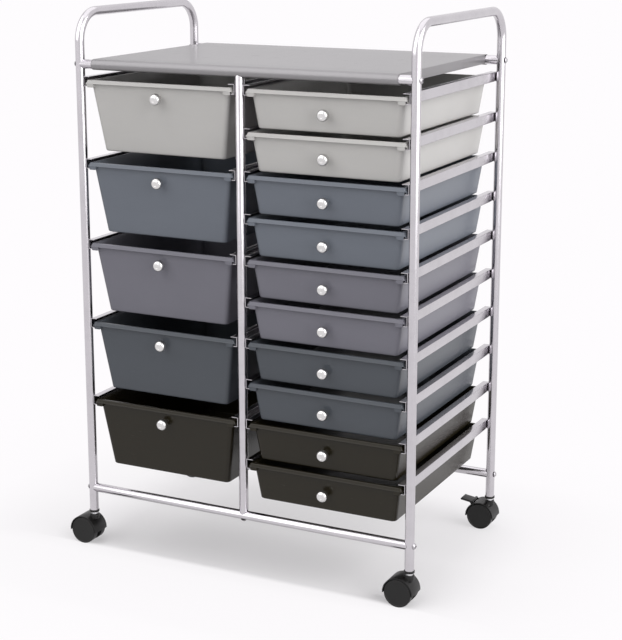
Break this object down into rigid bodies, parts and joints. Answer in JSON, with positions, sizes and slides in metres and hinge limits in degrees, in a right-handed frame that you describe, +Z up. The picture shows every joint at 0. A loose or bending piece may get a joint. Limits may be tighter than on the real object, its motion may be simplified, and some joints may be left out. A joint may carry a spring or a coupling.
{
  "type": "rolling drawer tower",
  "caption": "Rolling drawer tower: chromed tube frame on swivel casters with a flat top panel, a column of deep drawers and a column of shallow drawers with ball knobs.",
  "frame": {"origin": "on the floor, midway between the four caster swivel axes", "axes": "+X to the right, +Y to the back, +Z up; drawers open towards -Y"},
  "size_m": [0.6884, 0.4213, 0.965],
  "materials": {
    "chromed_tube": "bright chromed steel tube",
    "rail_steel": "chromed sheet steel",
    "top_panel": "silver-grey satin, faintly reflective",
    "knob_silver": "bright silver",
    "caster_black": "black moulded nylon",
    "wheel_black": "black moulded nylon",
    "axle_steel": "drawn steel",
    "drawer_mist": "glossy moulded polypropylene",
    "drawer_slate": "glossy moulded polypropylene",
    "drawer_heather": "glossy moulded polypropylene",
    "drawer_storm": "glossy moulded polypropylene",
    "drawer_coal": "glossy moulded polypropylene"
  },
  "bodies": {
    "frame": {"left_side_tube": "chromed_tube", "right_side_tube": "chromed_tube", "front_center_post": "chromed_tube", "rear_center_post": "chromed_tube", "left_side_rails": "rail_steel", "center_left_rails": "rail_steel", "center_right_rails": "rail_steel", "right_side_rails": "rail_steel", "top_front_bar": "chromed_tube", "top_rear_bar": "chromed_tube", "bottom_front_bar": "chromed_tube", "bottom_rear_bar": "chromed_tube", "top_panel": "top_panel", "frame_bolts": "chromed_tube", "caster_sockets": "caster_black", "caster_stems": "chromed_tube"},
    "front_left_caster": {"front_left_hood": "caster_black"},
    "front_left_wheel_pair": {"front_left_axle": "axle_steel", "front_left_wheels": "wheel_black"},
    "front_right_caster": {"front_right_hood": "caster_black"},
    "front_right_wheel_pair": {"front_right_axle": "axle_steel", "front_right_wheels": "wheel_black"},
    "rear_left_caster": {"rear_left_hood": "caster_black"},
    "rear_left_wheel_pair": {"rear_left_axle": "axle_steel", "rear_left_wheels": "wheel_black"},
    "rear_left_brake": {"rear_left_brake_lever": "caster_black"},
    "rear_right_caster": {"rear_right_hood": "caster_black"},
    "rear_right_wheel_pair": {"rear_right_axle": "axle_steel", "rear_right_wheels": "wheel_black"},
    "rear_right_brake": {"rear_right_brake_lever": "caster_black"},
    "deep_drawer_1": {"deep_drawer_1": "drawer_mist", "deep_knob_1": "knob_silver"},
    "deep_drawer_2": {"deep_drawer_2": "drawer_slate", "deep_knob_2": "knob_silver"},
    "deep_drawer_3": {"deep_drawer_3": "drawer_heather", "deep_knob_3": "knob_silver"},
    "deep_drawer_4": {"deep_drawer_4": "drawer_storm", "deep_knob_4": "knob_silver"},
    "deep_drawer_5": {"deep_drawer_5": "drawer_coal", "deep_knob_5": "knob_silver"},
    "shallow_drawer_1": {"shallow_drawer_1": "drawer_mist", "shallow_knob_1": "knob_silver"},
    "shallow_drawer_2": {"shallow_drawer_2": "drawer_mist", "shallow_knob_2": "knob_silver"},
    "shallow_drawer_3": {"shallow_drawer_3": "drawer_slate", "shallow_knob_3": "knob_silver"},
    "shallow_drawer_4": {"shallow_drawer_4": "drawer_slate", "shallow_knob_4": "knob_silver"},
    "shallow_drawer_5": {"shallow_drawer_5": "drawer_heather", "shallow_knob_5": "knob_silver"},
    "shallow_drawer_6": {"shallow_drawer_6": "drawer_heather", "shallow_knob_6": "knob_silver"},
    "shallow_drawer_7": {"shallow_drawer_7": "drawer_storm", "shallow_knob_7": "knob_silver"},
    "shallow_drawer_8": {"shallow_drawer_8": "drawer_storm", "shallow_knob_8": "knob_silver"},
    "shallow_drawer_9": {"shallow_drawer_9": "drawer_coal", "shallow_knob_9": "knob_silver"},
    "shallow_drawer_10": {"shallow_drawer_10": "drawer_coal", "shallow_knob_10": "knob_silver"}
  },
  "joints": [
    {"name": "front_left_swivel", "type": "hinge", "parent": "frame", "child": "front_left_caster", "pos_m": [-0.311, -0.192, 0.045], "axis": [0, 0, 1], "continuous": true},
    {"name": "front_left_roll", "type": "hinge", "parent": "front_left_caster", "child": "front_left_wheel_pair", "pos_m": [-0.325, -0.192, 0.024], "axis": [0, 1, 0], "continuous": true},
    {"name": "front_right_swivel", "type": "hinge", "parent": "frame", "child": "front_right_caster", "pos_m": [0.311, -0.192, 0.045], "axis": [0, 0, 1], "continuous": true},
    {"name": "front_right_roll", "type": "hinge", "parent": "front_right_caster", "child": "front_right_wheel_pair", "pos_m": [0.297, -0.192, 0.024], "axis": [0, 1, 0], "continuous": true},
    {"name": "rear_left_swivel", "type": "hinge", "parent": "frame", "child": "rear_left_caster", "pos_m": [-0.311, 0.192, 0.045], "axis": [0, 0, 1], "continuous": true},
    {"name": "rear_left_roll", "type": "hinge", "parent": "rear_left_caster", "child": "rear_left_wheel_pair", "pos_m": [-0.325, 0.192, 0.024], "axis": [0, 1, 0], "continuous": true},
    {"name": "rear_left_brake_rock", "type": "hinge", "parent": "rear_left_caster", "child": "rear_left_brake", "pos_m": [-0.34163, 0.192, 0.04775], "axis": [0, -1, 0], "range_deg": [0, 30]},
    {"name": "rear_right_swivel", "type": "hinge", "parent": "frame", "child": "rear_right_caster", "pos_m": [0.311, 0.192, 0.045], "axis": [0, 0, 1], "continuous": true},
    {"name": "rear_right_roll", "type": "hinge", "parent": "rear_right_caster", "child": "rear_right_wheel_pair", "pos_m": [0.297, 0.192, 0.024], "axis": [0, 1, 0], "continuous": true},
    {"name": "rear_right_brake_rock", "type": "hinge", "parent": "rear_right_caster", "child": "rear_right_brake", "pos_m": [0.28037, 0.192, 0.04775], "axis": [0, -1, 0], "range_deg": [0, 30]},
    {"name": "deep_drawer_1_slide", "type": "slide", "parent": "frame", "child": "deep_drawer_1", "axis": [0, -1, 0], "range_m": [0, 0.3]},
    {"name": "deep_drawer_2_slide", "type": "slide", "parent": "frame", "child": "deep_drawer_2", "axis": [0, -1, 0], "range_m": [0, 0.3]},
    {"name": "deep_drawer_3_slide", "type": "slide", "parent": "frame", "child": "deep_drawer_3", "axis": [0, -1, 0], "range_m": [0, 0.3]},
    {"name": "deep_drawer_4_slide", "type": "slide", "parent": "frame", "child": "deep_drawer_4", "axis": [0, -1, 0], "range_m": [0, 0.3]},
    {"name": "deep_drawer_5_slide", "type": "slide", "parent": "frame", "child": "deep_drawer_5", "axis": [0, -1, 0], "range_m": [0, 0.3]},
    {"name": "shallow_drawer_1_slide", "type": "slide", "parent": "frame", "child": "shallow_drawer_1", "axis": [0, -1, 0], "range_m": [0, 0.3]},
    {"name": "shallow_drawer_2_slide", "type": "slide", "parent": "frame", "child": "shallow_drawer_2", "axis": [0, -1, 0], "range_m": [0, 0.3]},
    {"name": "shallow_drawer_3_slide", "type": "slide", "parent": "frame", "child": "shallow_drawer_3", "axis": [0, -1, 0], "range_m": [0, 0.3]},
    {"name": "shallow_drawer_4_slide", "type": "slide", "parent": "frame", "child": "shallow_drawer_4", "axis": [0, -1, 0], "range_m": [0, 0.3]},
    {"name": "shallow_drawer_5_slide", "type": "slide", "parent": "frame", "child": "shallow_drawer_5", "axis": [0, -1, 0], "range_m": [0, 0.3]},
    {"name": "shallow_drawer_6_slide", "type": "slide", "parent": "frame", "child": "shallow_drawer_6", "axis": [0, -1, 0], "range_m": [0, 0.3]},
    {"name": "shallow_drawer_7_slide", "type": "slide", "parent": "frame", "child": "shallow_drawer_7", "axis": [0, -1, 0], "range_m": [0, 0.3]},
    {"name": "shallow_drawer_8_slide", "type": "slide", "parent": "frame", "child": "shallow_drawer_8", "axis": [0, -1, 0], "range_m": [0, 0.3]},
    {"name": "shallow_drawer_9_slide", "type": "slide", "parent": "frame", "child": "shallow_drawer_9", "axis": [0, -1, 0], "range_m": [0, 0.3]},
    {"name": "shallow_drawer_10_slide", "type": "slide", "parent": "frame", "child": "shallow_drawer_10", "axis": [0, -1, 0], "range_m": [0, 0.3]}
  ]
}
